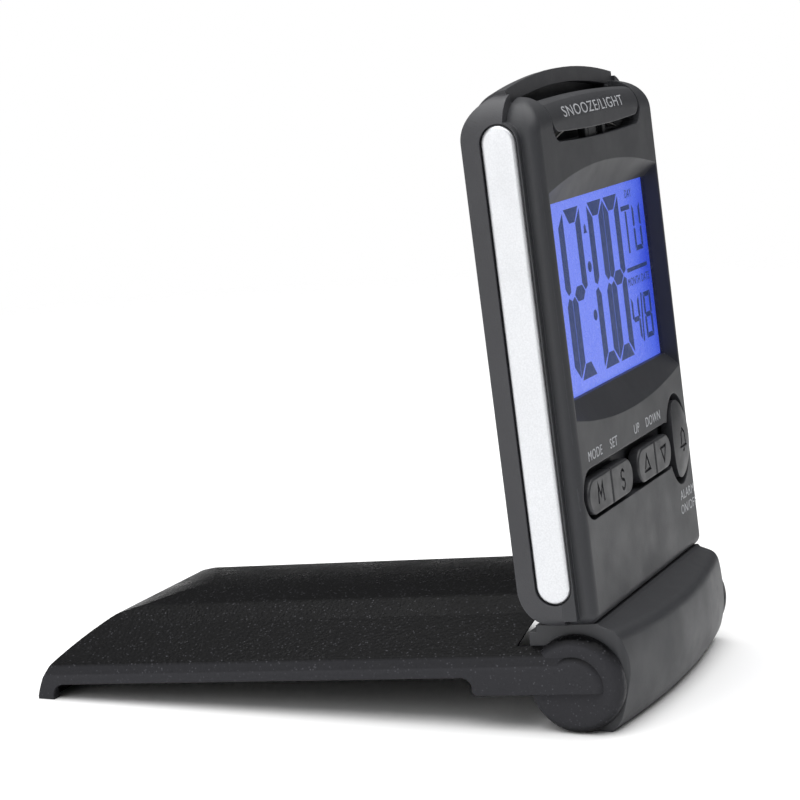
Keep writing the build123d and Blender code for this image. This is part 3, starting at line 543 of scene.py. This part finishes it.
# Sizes of the figures and their left edges and feet on the glass, all in mm.
TIME_SIZE = {"width": 8.6, "height": 30.4, "stroke": 2.65}
TIME_FOOT = 50.7
TIME_FIGURES = (("1", -24.0), ("2", -15.2), ("0", -2.6), ("8", 6.2))
COLON_X = -4.4
COLON_Z = (61.0, 69.8)
DOT_RADIUS = 1.0
DOT_POINTS = 14
BELL_AT = (-4.6, 76.6)
BELL = ((-0.9, -0.7), (0.9, -0.7), (0.55, -0.2), (0.5, 0.5), (0, 1.0), (-0.5, 0.5), (-0.55, -0.2))
DATE_SIZE = {"width": 4.4, "height": 8.8, "stroke": 0.95}
DATE_FOOT = 52.5
DATE_FIGURES = (("4", 15.8), ("8", 22.9))
DATE_SLASH = ((20.6, 52.3), (21.3, 52.3), (22.3, 61.4), (21.6, 61.4))
DAY_SIZE = {"width": 4.6, "height": 9.0, "stroke": 0.95}
DAY_FOOT = 69.4
DAY_U_X = 22.2
DAY_T_BARS = ((16.0, 77.5, 21.0, 78.4), (18.05, 69.4, 18.95, 77.3))
COLUMN_RULE = (15.8, 66.0, 27.6, 66.75)


def bar(x1, z1, x2, z2):
    """Corners of a rectangle."""
    return [(x1, z1), (x2, z1), (x2, z2), (x1, z2)]


def dot(x, z):
    """Round dot of the colon."""
    turns = [2 * math.pi * i / DOT_POINTS for i in range(DOT_POINTS)]
    return [(x + DOT_RADIUS * math.cos(turn), z + DOT_RADIUS * math.sin(turn)) for turn in turns]


def display_figures():
    """Time in tall figures, with the day, month and date in a column beside it."""
    outlines = []
    for figure, x in TIME_FIGURES:
        outlines += segment_outlines(x, TIME_FOOT, lit=FIGURES[figure], **TIME_SIZE)
    for z in COLON_Z:
        outlines.append(dot(COLON_X, z))
    outlines.append([(BELL_AT[0] + x, BELL_AT[1] + z) for x, z in BELL])
    for figure, x in DATE_FIGURES:
        outlines += segment_outlines(x, DATE_FOOT, lit=FIGURES[figure], **DATE_SIZE)
    outlines += segment_outlines(DAY_U_X, DAY_FOOT, lit=FIGURES["U"], **DAY_SIZE)
    for corners in (*DAY_T_BARS, COLUMN_RULE):
        outlines.append(bar(*corners))
    outlines.append(DATE_SLASH)
    return [[(x * MM, z * MM) for x, z in outline] for outline in outlines]


plates("display_figures", display_figures(), LCD_FRONT_Y, INK_THICKNESS, SEGMENTS)
DISPLAY_WORD_HEIGHT = 1.5 * MM
for tag, words, x, z in (
    ("display_word_day", "DAY", 21.0, 80.4),
    ("display_word_month", "MONTH DATE", 21.8, 64.0),
    ("display_word_m", "M", -26.4, 70.6),
):
    lettering(
        tag, words, x * MM, z * MM, DISPLAY_WORD_HEIGHT, DISPLAY_INK_Y, SEGMENTS, stretch=0.85
    )

# ---- labels -----------------------------------------------------------------
LABEL_HEIGHT = 1.75 * MM
BUTTON_LABEL_Z = 38.9
for tag, words, x, z in (
    ("label_mode", "MODE", -22.4, BUTTON_LABEL_Z),
    ("label_set", "SET", -12.4, BUTTON_LABEL_Z),
    ("label_up", "UP", 0.7, BUTTON_LABEL_Z),
    ("label_down", "DOWN", 10.4, BUTTON_LABEL_Z),
    ("label_alarm", "ALARM", 25.6, 21.7),
    ("label_on_off", "ON/OFF", 25.6, 19.0),
):
    lettering(tag, words, x * MM, z * MM, LABEL_HEIGHT, INK_Y, LABEL_INK)

snooze_label = lettering(
    "label_snooze",
    "SNOOZE/LIGHT",
    x=-1.0 * MM,
    z=98.6 * MM,
    height=2.05 * MM,
    y=FACE_Y - 1.0 * MM,
    material=LABEL_INK,
    body="snooze_bar",
    stretch=1.45,
)
# The word is laid on from the front and a little above.
SNOOZE_LABEL_TOWARD = (0, 1, -0.35)
drape(snooze_label, frame["nodes"]["snooze_button"], SNOOZE_LABEL_TOWARD, INK_THICKNESS)

# ---- floor, light and camera ------------------------------------------------
FLOOR_HALF = 1.2
# The paper fades into the white backdrop between these distances from the clock.
PAPER_FADE = (0.3, 0.65)


def paper_floor():
    """Pale matt paper that fades out before its edges."""
    shader = Shader("floor_paper")
    cloudy = shader.remap(shader.noise(3, 2), 0.3, 0.7)
    shader.link(shader.mix(cloudy, (0.9, 0.9, 0.9), (0.93, 0.93, 0.93)), shader.bsdf.inputs["Base Color"])
    shader.set(Roughness=0.85, Specular_IOR_Level=0.15)
    distance = shader.node("ShaderNodeVectorMath", operation="LENGTH")
    shader.link(shader.place, distance.inputs[0])
    shader.link(shader.remap(distance.outputs["Value"], *PAPER_FADE, 1.0, 0.0), shader.bsdf.inputs["Alpha"])
    mesh = bpy.data.meshes.new("floor")
    corners = bar(-FLOOR_HALF, -FLOOR_HALF, FLOOR_HALF, FLOOR_HALF)
    mesh.from_pydata([(x, y, 0) for x, y in corners], [], [(0, 1, 2, 3)])
    return new_object("floor", mesh, shader.material)


floor = paper_floor()

# Brightness of the studio by height, from straight down (0) through the horizon
# (0.5) to straight up (1): lit paper below, dim walls, a bright ceiling.
STUDIO_GREYS = ((0.0, 0.7), (0.49, 0.7), (0.51, 0.03), (0.62, 0.04), (0.78, 0.35), (1.0, 0.75))


def studio_world():
    """White backdrop for the camera; the clock is lit and reflected by the studio's greys."""
    world = bpy.data.worlds.new("studio")
    world.use_nodes = True
    tree = world.node_tree
    direction = tree.nodes.new("ShaderNodeTexCoord").outputs["Generated"]
    height = tree.nodes.new("ShaderNodeSeparateXYZ")
    tree.links.new(direction, height.inputs["Vector"])
    scaled = tree.nodes.new("ShaderNodeMapRange")
    scaled.inputs["From Min"].default_value = -1.0
    tree.links.new(height.outputs["Z"], scaled.inputs["Value"])
    greys = tree.nodes.new("ShaderNodeValToRGB")
    fill_ramp(greys.color_ramp.elements, [(place, (grey, grey, grey)) for place, grey in STUDIO_GREYS])
    tree.links.new(scaled.outputs["Result"], greys.inputs["Fac"])
    shown = tree.nodes.new("ShaderNodeMix")
    shown.data_type = "RGBA"
    to_camera = tree.nodes.new("ShaderNodeLightPath").outputs["Is Camera Ray"]
    tree.links.new(to_camera, shown.inputs["Factor"])
    tree.links.new(greys.outputs["Color"], shown.inputs[6])
    shown.inputs[7].default_value = (1, 1, 1, 1)
    background = tree.nodes["Background"]
    background.inputs["Strength"].default_value = 1.0
    tree.links.new(shown.outputs[2], background.inputs["Color"])
    return world


bpy.context.scene.world = studio_world()


def softbox(name, place, aim, size, power):
    """Square lamp of a side in metres and a power in watts, turned to face its aim."""
    light = bpy.data.lights.new(name, "AREA")
    light.shape = "SQUARE"
    light.size = size
    light.energy = power
    lamp = bpy.data.objects.new(name, light)
    bpy.context.collection.objects.link(lamp)
    lamp.location = place
    lamp.rotation_euler = (Vector(aim) - Vector(place)).to_track_quat("-Z", "Y").to_euler()


softbox("overhead", place=(-0.1, 0.0, 0.9), aim=(0, 0, 0), size=1.4, power=15)
softbox("side", place=(-0.95, 0.35, 0.35), aim=(0, 0, 0.05), size=0.8, power=3.2)

# Camera: heading from +Y towards +X, dip below level, and tilt about its own axis.
CAMERA_YAW = math.radians(65.775)
CAMERA_DIP = math.radians(9.71)
CAMERA_ROLL = math.radians(-3.568)
CAMERA_FROM_HINGE = Vector((-415.85, -142.18, 0)) * MM
CAMERA_HEIGHT = 129.94 * MM


def camera_pose():
    """World matrix of the camera."""
    ahead = Vector(
        (
            math.sin(CAMERA_YAW) * math.cos(CAMERA_DIP),
            math.cos(CAMERA_YAW) * math.cos(CAMERA_DIP),
            -math.sin(CAMERA_DIP),
        )
    )
    level = Vector((math.cos(CAMERA_YAW), -math.sin(CAMERA_YAW), 0))
    above = level.cross(ahead)
    right = math.cos(CAMERA_ROLL) * level + math.sin(CAMERA_ROLL) * above
    upward = math.cos(CAMERA_ROLL) * above - math.sin(CAMERA_ROLL) * level
    spot = CAMERA_FROM_HINGE + Vector((0, HINGE.y, CAMERA_HEIGHT))
    turned = Matrix((right, upward, -ahead)).transposed().to_4x4()
    return Matrix.Translation(spot) @ turned


camera = bpy.data.cameras.new("camera")
camera.lens = 109.5
camera.sensor_width = 36.0
camera.shift_x = 0.00225
camera.shift_y = 0.00575
camera.clip_start = 0.01
viewer = bpy.data.objects.new("camera", camera)
bpy.context.collection.objects.link(viewer)
viewer.matrix_world = camera_pose()
bpy.context.scene.camera = viewer
bpy.context.scene.view_settings.view_transform = "Standard"
